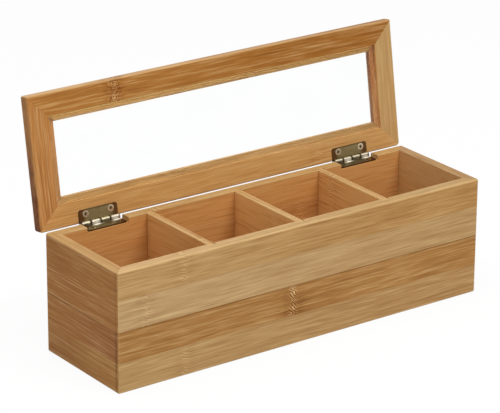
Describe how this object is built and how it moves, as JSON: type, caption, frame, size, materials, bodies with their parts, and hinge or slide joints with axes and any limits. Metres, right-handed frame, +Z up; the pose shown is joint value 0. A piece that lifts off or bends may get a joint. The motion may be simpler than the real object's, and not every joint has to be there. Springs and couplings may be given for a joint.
{
  "type": "tea bag organizer box",
  "caption": "Long wooden tea box with upright dividers between equal compartments and a hinged lid framing a clear window, stored open.",
  "frame": {"origin": "centre of the box's flat underside", "axes": "+X to the right along the box seen from its front, +Y from the front to the hinged back, +Z up"},
  "size_m": [0.344, 0.125, 0.1964],
  "materials": {
    "board_light": "light bamboo, satin lacquer",
    "board_warm": "bamboo with darker bands, satin lacquer",
    "divider": "light bamboo, satin lacquer",
    "lid_warm": "orange-brown bamboo, satin lacquer",
    "lid_light": "light bamboo, satin lacquer",
    "clear_pane": "clear acrylic sheet",
    "hinge_brass": "antique brass, darkened",
    "hinge_pin": "antique brass",
    "screw_brass": "antique brass, worn bright on the edges"
  },
  "bodies": {
    "box": {"front_upper_board": "board_light", "front_lower_board": "board_warm", "back_upper_board": "board_light", "back_lower_board": "board_warm", "left_upper_board": "board_light", "left_lower_board": "board_warm", "right_upper_board": "board_light", "right_lower_board": "board_warm", "base_panel": "board_light", "divider_1": "divider", "divider_2": "divider", "divider_3": "divider", "left_hinge_box_leaf": "hinge_brass", "left_hinge_box_screws": "screw_brass", "left_hinge_pin": "hinge_pin", "right_hinge_box_leaf": "hinge_brass", "right_hinge_box_screws": "screw_brass", "right_hinge_pin": "hinge_pin"},
    "lid": {"lid_front_rail": "lid_warm", "lid_back_rail": "lid_light", "lid_left_stile": "lid_warm", "lid_right_stile": "lid_light", "window_pane": "clear_pane", "left_hinge_lid_leaf": "hinge_brass", "left_hinge_lid_screws": "screw_brass", "right_hinge_lid_leaf": "hinge_brass", "right_hinge_lid_screws": "screw_brass"}
  },
  "joints": [
    {"name": "lid_hinge", "type": "hinge", "parent": "box", "child": "lid", "pos_m": [0, 0.05075, 0.0937], "axis": [1, 0, 0], "range_deg": [0, 99]}
  ]
}
